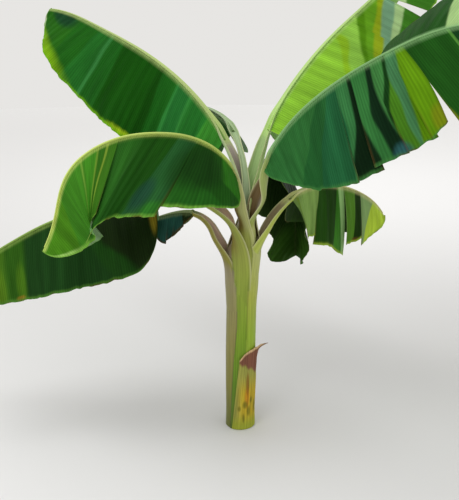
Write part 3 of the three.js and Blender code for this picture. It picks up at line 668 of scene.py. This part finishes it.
def stem_tone(z, azimuth):
    """Each sheath's colours from the foot to the top, from one seam to the next."""
    edges = [seam_at(seam, z) for seam in SEAMS]
    tone = np.zeros(azimuth.shape + (3,))
    for band, colours in enumerate(BANDS):
        start, end = edges[band], edges[(band + 1) % len(SEAMS)]
        past = (azimuth - start) % 360
        width = (end - start) % 360
        levels = np.stack([linear(colour) for colour in colours])
        colour = np.stack([np.interp(z, BAND_HEIGHTS, levels[:, k]) for k in range(3)], -1)
        edge = np.minimum(past, width - past)
        shaded = colour * (SEAM_SHADE + (1 - SEAM_SHADE) * ease(edge, *SEAM_SHADE_DEG))[..., None]
        tone = np.where((past < width)[..., None], shaded, tone)
    return tone


print("sheath colours", sum(len(colours) for colours in BANDS))

# %% [markdown]
# ## Petioles and midribs
# The petiole and the midrib are one limb. Its section is a crescent: a round back and a channel that
# opens towards the plant's middle. Low down it widens and wraps the stem as a sheath. A curve with a
# bevel could give a limb, but not a section that changes from a wide sheath to a narrow rib. So a section
# is drawn for each station, and the grid through them is rolled up until its two long sides meet.
#
# A petiole may be turned about its own line, so that its channel opens to the side on which the plant shows
# it. Some have a thicker back half way up, a narrower neck or a stouter foot. A band down the middle of the
# back is painted shade, and the lips and the channel each have a colour of their own.

# %% Sheath values
# Where each sheath lies round the stem, how low it starts, how deep it is sunk, how far it wraps to
# either side, and how far its petiole is rolled; neck, belly and girth are set where they differ.
SHEATHS = {
    "lower_left": dict(azimuth=239, low=300, inset=0.0, open=62, roll=-30),
    "lower_right": dict(azimuth=312, low=300, inset=0.5, open=60, roll=-14),
    "ragged_left": dict(azimuth=190, low=300, inset=0.0, open=58, roll=-24),
    "hanging_back": dict(azimuth=80, low=300, inset=1.0, open=80, roll=0),
    "middle_left": dict(azimuth=255, low=470, inset=12, open=70, roll=0, neck=9, belly=13),
    "large_right": dict(azimuth=330, low=480, inset=14, open=95, roll=78, girth=1.35),
    "small_back": dict(azimuth=118, low=480, inset=14, open=80, roll=0, girth=0.55),
    "upper_left": dict(azimuth=150, low=490, inset=18, open=90, roll=0),
    "upright": dict(azimuth=40, low=500, inset=24, open=62, roll=0, girth=1.2),
}
print("sheaths", len(SHEATHS), "from", min(sheath["low"] for sheath in SHEATHS.values()), "mm up")

# %% Sections of a limb
LIMB_BACK, LIMB_INNER = 16, 12
ROOT_HALF, NECK_HALF, RIB_HALF, END_HALF = 30, 14, 9, 2.2
STATION_MM, PETIOLE_STATIONS, RIB_STATIONS = 8.0, 48, 90
MIDRIB_END = 0.985
OPENING_ROOT, OPENING_DROP = 118, 20
WALL_ROOT, WALL_NECK, WALL_RIB = 0.16, 0.30, 0.35
LIP_SHARE, LIP_MM = 0.3, 2.2
RIB_LIFT, BACK_DEPTH, WRAP_WALL_MM = 0.35, 0.9, 3.0
SINK_MM, SINK_OVER = 5, (60, 150)
FOOT_SINK_MM, FOOT_SINK_OVER = 1.5, (0, 60)
BELLY_AT, BELLY_SPREAD = 0.55, 0.2


def limb_points(leaf, sheath):
    """Sections of a limb from low on the stem to the end of the midrib."""
    neck = leaf["petiole"] / leaf["length"]
    below = np.arange(sheath["low"] - leaf["foot"][2], 0, STATION_MM)
    petiole = np.linspace(0, neck, PETIOLE_STATIONS)
    rib = np.linspace(neck, neck + (1 - neck) * MIDRIB_END, RIB_STATIONS)[1:]
    share = np.concatenate([0 * below, petiole, rib])
    drop = np.concatenate([below, 0 * petiole, 0 * rib])
    s = np.concatenate([0 * below, petiole / neck, 1 + 0 * rib])
    t = np.clip((share - neck) / (1 - neck), 0, 1)
    ahead, right, up = directions(leaf, share)
    centre = on_line(leaf["line"], share) + drop[:, None] * np.array([0, 0, 1.0])
    neck_half = sheath.get("neck", NECK_HALF)
    half = ROOT_HALF + (neck_half - ROOT_HALF) * s ** 0.7
    half = np.where(t > 0, neck_half + (RIB_HALF - neck_half) * ease(t, 0, 0.12), half)
    half = half + (END_HALF - RIB_HALF) * t ** 0.8
    half = half * (1 + (sheath.get("girth", 1) - 1) * (1 - ease(s, 0.8, 1.0)))
    opening = np.radians(OPENING_ROOT - OPENING_DROP * s)
    wall = half * (WALL_ROOT + WALL_NECK * s + WALL_RIB * ease(t, 0, 0.15))
    lip = np.minimum(half * LIP_SHARE, LIP_MM)
    centre = centre + up * (RIB_LIFT * half * ease(t, 0, 0.06))[:, None]
    roll = np.radians(sheath["roll"] * (1 - ease(s, 0.45, 1.0)))[:, None]
    right, up = right * np.cos(roll) - up * np.sin(roll), up * np.cos(roll) + right * np.sin(roll)
    z = centre[:, 2]
    lean, wide, deep = stem_at(z)
    wrap = 1 - ease(s, 0.0, 0.62)
    wrap[share > neck] = 0
    depth = sheath["inset"] + SINK_MM * ease(-drop, *SINK_OVER)
    depth = depth + FOOT_SINK_MM * ease(-drop, *FOOT_SINK_OVER)
    across = np.linspace(-1, 1, LIMB_BACK + 1)
    inner = np.linspace(1, -1, LIMB_INNER + 1)
    belly = sheath.get("belly", 0) * np.exp(-((s - BELLY_AT) / BELLY_SPREAD) ** 2)
    columns = []
    for skin, places in (("back", across), ("channel", inner)):
        for a in places:
            angle = opening * a
            thin = lip + (wall - lip) * np.cos(angle / opening * math.pi / 2) ** 0.8
            reach = half - (0 if skin == "back" else thin)
            deep_back = BACK_DEPTH * reach * np.cos(angle)
            deep_back = deep_back + (belly * math.cos(a * math.pi / 2) if skin == "back" else 0)
            free = centre + right * (reach * np.sin(angle))[:, None] - up * deep_back[:, None]
            turn = np.radians(sheath["azimuth"] - a * sheath["open"])
            off = -depth - (0 if skin == "back" else WRAP_WALL_MM)
            hug = np.stack([lean + (wide + off) * np.cos(turn), (deep + off) * np.sin(turn), z], -1)
            columns.append(free * (1 - wrap)[:, None] + hug * wrap[:, None])
    points = np.stack(columns, 1)
    return np.concatenate([points, points[:, :1]], 1), s, t, z, wrap


# %% Paint of a limb
LIP = 0xD2D0A4
SHADE_STRENGTH, LIP_BACK, LIP_CHANNEL = 0.85, 0.6, 0.5
LIP_FROM_Z = (380, 500)


def limb_tone(leaf, sheath, s, t, z, wrap):
    """The stem's colours where it wraps, stalk and rib above, a shaded back, pale lips, its own channel."""
    paint = leaf["paint"]
    upper = ease(s, 0.75, 1) * ease(t + s, 1.0, 1.08)
    shade = ease(s, 0.1, 0.25) * (1 - ease(s, 0.65, 0.9))
    columns = []
    for a in np.linspace(-1, 1, LIMB_BACK + 1):
        turn = sheath["azimuth"] - a * sheath["open"] + 0 * z
        # Painted shade: a band down the middle of the back, half way up the petiole, takes the paint's
        # shade colour.
        back = mix(paint["stalk"], paint["shade"], SHADE_STRENGTH * shade * (1 - ease(abs(a), 0.1, 0.6)))
        back = mix(back, stem_tone(z, turn % 360), ease(wrap, 0.45, 0.95))
        lip = LIP_BACK * ease(abs(a), 0.86, 1.0) * (1 - upper) * ease(z, *LIP_FROM_Z)
        back = mix(back, linear(LIP), lip)
        columns.append(mix(back, paint["rib"], upper))
    for a in np.linspace(1, -1, LIMB_INNER + 1):
        groove = mix(paint["channel"], paint.get("groove", paint["channel"]), ease(-a, -0.3, 0.3) + 0 * s)
        groove = mix(groove, linear(LIP), LIP_CHANNEL * ease(abs(a), 0.85, 1.0) + 0 * s)
        columns.append(mix(groove, paint["rib"], ease(s, 0.86, 1.0)))
    return np.stack(columns + columns[:1], 1)


# %% Rolled grids
SEAM_GAP = 0.00002


def close_tube(piece):
    """The long seam is merged and the two ends are filled."""
    deselect()
    piece.select_set(True)
    bpy.context.view_layer.objects.active = piece
    bpy.ops.object.mode_set(mode="EDIT")
    bpy.ops.mesh.select_all(action="SELECT")
    bpy.ops.mesh.remove_doubles(threshold=SEAM_GAP)
    bpy.ops.mesh.select_all(action="DESELECT")
    bpy.ops.mesh.select_non_manifold()
    bpy.ops.mesh.fill_holes(sides=0)
    bpy.ops.mesh.select_all(action="SELECT")
    bpy.ops.mesh.normals_make_consistent(inside=False)
    bpy.ops.object.mode_set(mode="OBJECT")


# %% Limbs
LIMB_ROUND = 0.12

limbs = {}
for name, leaf in LEAVES.items():
    points, *shares = limb_points(leaf, SHEATHS[name])
    span = (points.shape[0] * STATION_MM * MM, LIMB_ROUND)
    limb = sheet(f"limb_{name}", points, limb_tone(leaf, SHEATHS[name], *shares), span)
    close_tube(limb)
    limbs[name] = limb
print("limbs", len(limbs), "faces each about", len(limb.data.polygons))

# %% [markdown]
# ## The pseudostem
# The stem is a column of wrapped sheaths. From outside each shows as a long strip with a margin that
# stands proud of the one under it. A grid is rolled round the lean line of the stem, and its points are
# moved in and out: each sheath is a little rounder than the column and steps down at its margin. A
# cylinder shaped by hand would do for a smooth trunk, but the seams wander up the stem and each fades
# away on one side only, which a formula gives and a bevel doesn't.

# %% Skin of the stem
STEM_TOP, STEM_ROUND = 585, 0.285
STEM_ROWS, STEM_COLS = 150, 144
SEAM_FADE_DEG, SEAM_EDGE_DEG = 40, 2.5
SKIN_SINK, NECK_SINK, NECK_SINK_FROM = 2.6, 14, 540


def seam_relief(z, azimuth):
    """How far the skin stands off the column: a step at each seam that fades away round the stem."""
    relief = 0 * azimuth
    for seam in SEAMS:
        past = (azimuth - seam_at(seam, z) + 180) % 360 - 180
        fade = np.where(past >= 0, np.exp(-past / SEAM_FADE_DEG), 0)
        relief += seam["step"] * fade * ease(past, 0, SEAM_EDGE_DEG)
    return relief


heights = np.linspace(0, STEM_TOP, STEM_ROWS + 1)[:, None]
azimuths = np.linspace(0, 360, STEM_COLS + 1)[None, :] + 0 * heights
lean, wide, deep = stem_at(heights)
skin = seam_relief(heights, azimuths) - SKIN_SINK - NECK_SINK * ease(heights, NECK_SINK_FROM, STEM_TOP)
stem_points = np.stack([lean + (wide + skin) * np.cos(np.radians(azimuths)),
                        (deep + skin) * np.sin(np.radians(azimuths)), heights + 0 * azimuths], -1)

stem = sheet("stem_sheaths", stem_points, stem_tone(heights, azimuths), (STEM_TOP * MM, STEM_ROUND))
close_tube(stem)
print("stem", len(stem.data.polygons), "faces")

# %% [markdown]
# ## The withered sheath
# The oldest sheath has died back at the right front of the foot. It still wraps the stem, ochre and
# blotched below. Its top has dried brown and crumpled, and the upper right corner stands off the stem
# and curls away: the curl grows fast towards that corner and sinks a little under its own weight. It is
# a grid laid round the stem, so that it hugs the stem wherever it hasn't curled off, and Solidify gives
# the thin dry wall.

# %% Shape of the withered sheath
HUSK_FROM, HUSK_TOP, HUSK_DIP, HUSK_SWEEP = 1.5, 262, 32, 5
HUSK_LEFT_LOW, HUSK_LEFT_TOP, HUSK_RIGHT = -120, -93, 30
HUSK_ROWS, HUSK_COLS = 120, 96
HUSK_CURL, HUSK_CORNER, HUSK_RISE, HUSK_DROOP = 46, 6, 5, 0.4
HUSK_OFF, HUSK_UNEVEN, HUSK_LIP = 1.6, 0.5, 2.4
CRUMPLE_ROUND, CRUMPLE_UP = 1.6, 1.2
DRY_LEFT, DRY_RIGHT, DRY_REACH = 208, 165, 0.75

high = np.linspace(0, 1, HUSK_ROWS + 1)[:, None]
side_share = np.linspace(0, 1, HUSK_COLS + 1)[None, :]
start = HUSK_LEFT_LOW + (HUSK_LEFT_TOP - HUSK_LEFT_LOW) * high
husk_deg = start + (HUSK_RIGHT - start) * side_share
husk_turn = np.radians(husk_deg)
husk_top = HUSK_TOP - HUSK_DIP * (1 - side_share) ** HUSK_SWEEP
husk_z = HUSK_FROM + (husk_top - HUSK_FROM) * high
lean, wide, deep = stem_at(husk_z)
curl = HUSK_CURL * side_share ** HUSK_CORNER * np.maximum(0, 2 * high - 1) ** HUSK_RISE
dry_from = DRY_LEFT + (DRY_RIGHT - DRY_LEFT) * side_share / DRY_REACH
dried = ease(husk_z, dry_from - 10, dry_from + 25)
crumple = CRUMPLE_ROUND * drift(51, husk_deg * 0.8, 9) * dried
crumple = crumple + CRUMPLE_UP * drift(52, husk_z + husk_deg, 24) * dried
lip = HUSK_LIP * ease(high + 0 * side_share, 0.93, 1.0)
off = HUSK_OFF + curl + crumple + lip + HUSK_UNEVEN * drift(53, husk_deg, 7)
husk_points = np.stack([lean + (wide + off) * np.cos(husk_turn), (deep + off) * np.sin(husk_turn),
                        husk_z - HUSK_DROOP * curl], -1)
print("withered sheath stands off by up to", round(float(off.max())), "mm")

# %% Paint of the withered sheath
HUSK_PAINT = dict(green=0x9C9C4C, ochre=0xB9A230, amber=0xC08A28, foot=0x9CA438, dry=0x7E5442, rim=0xCDAE80,
                  curled=0x8A6A48)
# Each blot: its azimuth and height, its half sizes in degrees and millimetres, and its colour.
AMBER_BLOT = (-62, 105, 14, 45)
HUSK_BLOTS = [
    (-62, 150, 9, 48, 0x7A4E22), (-70, 82, 14, 16, 0x6A6A22), (-55, 60, 10, 22, 0x6A6A22),
    (-92, 70, 8, 12, 0x6A6A22), (-76, 38, 6, 20, 0x6A6A22), (-45, 95, 8, 14, 0x6A6A22),
    (-20, 70, 14, 30, 0x6A6A22),
]
BLOT_STRENGTH = 0.75


def blot(degrees, height, wide, tall):
    """A soft spot on the withered sheath, 1 in its middle."""
    return 1 - ease(((husk_deg - degrees) / wide) ** 2 + ((husk_z - height) / tall) ** 2, 0.0, 1.0)


husk_paint = {part: linear(value) for part, value in HUSK_PAINT.items()}
ochre = ease(husk_deg, -110, -75) * (1 - ease(husk_z, 110, 190))
husk_tone = mix(husk_paint["green"], husk_paint["ochre"], ochre)
husk_tone = mix(husk_tone, husk_paint["amber"], blot(*AMBER_BLOT))
husk_tone = mix(husk_tone, husk_paint["foot"], 1 - ease(husk_z, 10, 60))
for *place, colour in HUSK_BLOTS:
    husk_tone = mix(husk_tone, linear(colour), BLOT_STRENGTH * blot(*place))
dry_border = ease(husk_z - dry_from + 8 * drift(54, husk_deg, 12), 0, 14)
husk_tone = mix(husk_tone, husk_paint["dry"], dry_border)
husk_tone = mix(husk_tone, husk_paint["rim"], ease(high + 0 * side_share, 0.955, 0.985))
husk_tone = mix(husk_tone, husk_paint["curled"], ease(curl, 14, 30))
print("blots", len(HUSK_BLOTS))

# %% Withered sheath
HUSK_MM, HUSK_SPAN = 1.2, (0.28, 0.14)
husk = sheet("withered_sheath", husk_points, husk_tone, HUSK_SPAN)
solidify = husk.modifiers.new("thickness", "SOLIDIFY")
solidify.thickness = HUSK_MM * MM
solidify.offset = 0
solidify.material_offset = 1
print("withered sheath", len(husk.data.polygons), "faces")

# %% [markdown]
# ## Thickness and smooth shading
# The thin pieces keep Solidify live until their materials are in place, because it hands the second
# material to the lower face and the third to the edge. Then it is applied, and all faces are shaded
# smooth, but for the sharp edges where a sheet ends.

# %% Thickness and smooth shading
SHARP_DEG = 50


def finish_mesh(piece):
    """The modifiers are applied and the faces shaded smooth, with sharp edges kept."""
    deselect()
    piece.select_set(True)
    bpy.context.view_layer.objects.active = piece
    for modifier in list(piece.modifiers):
        bpy.ops.object.modifier_apply(modifier=modifier.name)
    bpy.ops.object.shade_smooth_by_angle(angle=math.radians(SHARP_DEG))


# %% [markdown]
# ## Materials
# A living blade is green tissue under a thin coat of wax: it shines softly, and its side veins show as
# fine lines, lighter and darker. Its underside is paler and duller, with a gray bloom. The stalks and
# the sheaths are watery tissue with a smooth skin that is streaked lengthwise. A sheath that has died is
# dry, fibrous and dull.
#
# A picture could hold all this, but it would fix one leaf's marks on every leaf. So each finish reads
# the colour that was dealt out to the points, and adds what the surface itself has: veins, bands,
# streaks, gloss. One small function adds a node with its settings and links. The scales are worked out
# from real sizes in millimetres, and the maps are in metres.

# %% Node helper
def node(tree, kind, inputs=None, **settings):
    """Adds a node; an input is a value or the output that feeds it."""
    made = tree.nodes.new("ShaderNode" + kind)
    for key, value in settings.items():
        setattr(made, key, value)
    for key, value in (inputs or {}).items():
        if isinstance(value, bpy.types.NodeSocket):
            tree.links.new(value, made.inputs[key])
        else:
            made.inputs[key].default_value = value
    return made


def fresh_material(name, roughness, specular=0.5):
    """A material with its shader, whose plain values stand on its own sockets."""
    material = bpy.data.materials.new(name)
    material.use_nodes = True
    shader = material.node_tree.nodes["Principled BSDF"]
    shader.inputs["Roughness"].default_value = roughness
    shader.inputs["Specular IOR Level"].default_value = specular
    return material, material.node_tree, shader


def rgba(hex_colour):
    """A hex colour for a colour socket."""
    return (*linear(hex_colour), 1)


def per_metre(mm):
    """How many patches of this size lie in a metre of the map."""
    return 1 / (mm * MM)


print("a patch of 25 mm comes", per_metre(25), "times in a metre")

# %% Leaf tissue
# The side veins lie 6 mm apart. The finest ones are half a millimetre apart, too fine to show, so they
# are drawn as coarse as 2.4 mm. Both run all the way out, and broad bands of 25 mm lie under them.
VEIN_MM = 6.0
FINE_VEIN_MM, FINE_VEIN_LONG = 2.381, 111.1
BAND_MM, BAND_LONG = 25, 200
BAND_DARK, BAND_LIGHT = 0.86, 1.14
VEIN_HIGH_MM = 1.2


def veined_leaf(name, tint, strength, roughness, specular, relief):
    """Leaf tissue: side veins a few millimetres apart that run out from the midrib."""
    material, tree, shader = fresh_material(name, roughness, specular)
    tone = node(tree, "VertexColor", layer_name="tone")
    place = node(tree, "UVMap", uv_map="size")
    ribs = node(tree, "TexWave", {"Vector": place.outputs["UV"], "Scale": 2 * math.pi / (20 * VEIN_MM * MM),
                                  "Distortion": 1.2, "Detail": 2.0, "Detail Scale": 0.3},
                wave_type="BANDS", bands_direction="X")
    fine = node(tree, "Mapping", {"Vector": place.outputs["UV"],
                                  "Scale": (per_metre(FINE_VEIN_MM), per_metre(FINE_VEIN_LONG), 1)})
    veins = node(tree, "TexNoise", {"Vector": fine.outputs["Vector"], "Scale": 1.0, "Detail": 2.0},
                 noise_dimensions="2D")
    broad = node(tree, "Mapping", {"Vector": place.outputs["UV"],
                                   "Scale": (per_metre(BAND_MM), per_metre(BAND_LONG), 1)})
    bands = node(tree, "TexNoise", {"Vector": broad.outputs["Vector"], "Scale": 1.0, "Detail": 3.0},
                 noise_dimensions="2D")
    both = node(tree, "Mix", {"Factor": 0.55, "A": ribs.outputs["Fac"], "B": veins.outputs["Fac"]})
    lines = node(tree, "MapRange", {"Value": both.outputs["Result"], "From Min": 0.2, "From Max": 0.8,
                                    "To Min": 1 - strength, "To Max": 1 + strength})
    shade = node(tree, "MapRange", {"Value": bands.outputs["Fac"], "From Min": 0.3, "From Max": 0.7,
                                    "To Min": BAND_DARK, "To Max": BAND_LIGHT})
    amount = node(tree, "Math", {0: lines.outputs["Result"], 1: shade.outputs["Result"]},
                  operation="MULTIPLY")
    base = node(tree, "MixRGB", {"Fac": 1.0 - tint[1], "Color1": rgba(tint[0]),
                                 "Color2": tone.outputs["Color"]})
    lit = node(tree, "VectorMath", {0: base.outputs["Color"]}, operation="SCALE")
    tree.links.new(amount.outputs["Value"], lit.inputs["Scale"])
    tree.links.new(lit.outputs["Vector"], shader.inputs["Base Color"])
    bump = node(tree, "Bump", {"Height": both.outputs["Result"], "Strength": relief,
                               "Distance": VEIN_HIGH_MM * MM})
    tree.links.new(bump.outputs["Normal"], shader.inputs["Normal"])
    return material


# %% Leaf materials
UNDERSIDE, DEEP_SHADE, CUT_TISSUE = 0x7FA870, 0x304C1C, 0xA9B458
# The waxed face keeps its full colour and a soft, even shine, and its veins show most.
LEAF_FACE = veined_leaf("waxy_leaf_face", (UNDERSIDE, 0.0), 0.16, 0.46, 0.025, 0.6)
# The underside has a gray bloom that makes it paler and duller.
LEAF_BACK = veined_leaf("leaf_underside", (UNDERSIDE, 0.45), 0.10, 0.6, 0.15, 0.5)
# The same underside deep in the crown, where the bloom gets no light.
SHADED_BACK = veined_leaf("leaf_underside_in_shade", (DEEP_SHADE, 0.5), 0.10, 0.6, 0.05, 0.5)
# The cut through the tissue is a thin pale line round each blade and strip.
LEAF_EDGE = veined_leaf("leaf_cut_edge", (CUT_TISSUE, 0.25), 0.1, 0.6, 0.2, 0.2)
print("leaf materials", [m.name for m in (LEAF_FACE, LEAF_BACK, SHADED_BACK, LEAF_EDGE)])

# %% Stalk and sheath tissue
# The fibres in a sheath are finer than a millimetre, so the streaks are drawn about 4 mm wide.
STREAK_MM, STREAK_LONG = 3.846, 166.7
STREAK_HIGH_MM = 1


def fleshy_stalk(name, roughness, specular, streak):
    """Watery stalk tissue: a smooth skin with faint lengthwise streaks."""
    material, tree, shader = fresh_material(name, roughness, specular)
    tone = node(tree, "VertexColor", layer_name="tone")
    place = node(tree, "UVMap", uv_map="size")
    along = node(tree, "Mapping", {"Vector": place.outputs["UV"],
                                   "Scale": (per_metre(STREAK_LONG), per_metre(STREAK_MM), 1)})
    fibres = node(tree, "TexNoise", {"Vector": along.outputs["Vector"], "Scale": 1.0, "Detail": 3.0},
                  noise_dimensions="2D")
    lines = node(tree, "MapRange", {"Value": fibres.outputs["Fac"], "From Min": 0.3, "From Max": 0.7,
                                    "To Min": 1 - streak, "To Max": 1 + streak})
    lit = node(tree, "VectorMath", {0: tone.outputs["Color"]}, operation="SCALE")
    tree.links.new(lines.outputs["Result"], lit.inputs["Scale"])
    tree.links.new(lit.outputs["Vector"], shader.inputs["Base Color"])
    bump = node(tree, "Bump", {"Height": fibres.outputs["Fac"], "Strength": 0.25,
                               "Distance": STREAK_HIGH_MM * MM})
    tree.links.new(bump.outputs["Normal"], shader.inputs["Normal"])
    return material


# %% Stalk and stem materials
# A taut wet skin: smooth, with a clear soft shine along the limb.
STALK = fleshy_stalk("fleshy_stalk", 0.42, 0.22, 0.12)
# The outer sheaths are older and a little rougher, and their streaks show more.
STEM_SKIN = fleshy_stalk("wrapped_sheath_skin", 0.45, 0.2, 0.16)
# A dead sheath has lost its water: it is dull, and its fibres stand out.
DRY_SHEATH = fleshy_stalk("dry_sheath", 0.8, 0.1, 0.25)
print("stalk materials", [m.name for m in (STALK, STEM_SKIN, DRY_SHEATH)])

# %% Floor material
PAPER_DARK, PAPER_LIGHT, RIM_LIGHT, PALE_FROM = 0.74, 0.78, 0.22, 1.5
paper, paper_tree, paper_shader = fresh_material("pale_studio_floor", 0.9, 0.2)
grain = node(paper_tree, "TexNoise", {"Scale": 3.0, "Detail": 4.0})
ramp = node(paper_tree, "MapRange", {"Value": grain.outputs["Fac"], "To Min": PAPER_DARK,
                                     "To Max": PAPER_LIGHT})
spot = node(paper_tree, "TexCoord")
far = node(paper_tree, "VectorMath", {0: spot.outputs["Object"]}, operation="LENGTH")
pale = node(paper_tree, "MapRange", {"Value": far.outputs["Value"], "From Min": PALE_FROM,
                                     "From Max": FLOOR_RADIUS, "To Min": 0.0, "To Max": RIM_LIGHT})
sum_tone = node(paper_tree, "Math", {0: ramp.outputs["Result"], 1: pale.outputs["Result"]},
                operation="ADD")
paper_tree.links.new(sum_tone.outputs["Value"], paper_shader.inputs["Base Color"])
floor.data.materials.append(paper)
print("floor from", PAPER_DARK, "to", PAPER_LIGHT + RIM_LIGHT, "at the rim")

# %% [markdown]
# ## Hand over
# Every piece rides on the plant's one body and replaces its solid. Two leaves hang in the crown's shade,
# and take the darker underside.

# %% Finish the leaves
IN_SHADE = ("hanging_back", "lower_right")
for name, blade in blades.items():
    underside = SHADED_BACK if name in IN_SHADE else LEAF_BACK
    for material in (LEAF_FACE, underside, LEAF_EDGE):
        blade.data.materials.append(material)
    finish_mesh(blade)
    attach(blade, "root")
    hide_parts(*LEAVES[name].get("nodes", (f"leaf_{name}",)))
    limb = limbs[name]
    limb.data.materials.append(STALK)
    finish_mesh(limb)
    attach(limb, "root")
    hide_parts(f"petiole_{name}")
print("leaves finished", len(blades), "with", sum(len(b.data.polygons) for b in blades.values()), "faces")

# %% Finish the stem and the withered sheath
stem.data.materials.append(STEM_SKIN)
finish_mesh(stem)
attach(stem, "root")
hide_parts("pseudostem")
# Solidify gives the husk's inner face the second material, which is the same one.
husk.data.materials.append(DRY_SHEATH)
husk.data.materials.append(DRY_SHEATH)
finish_mesh(husk)
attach(husk, "root")
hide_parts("husk")
print("stem", len(stem.data.polygons), "and husk", len(husk.data.polygons), "faces")
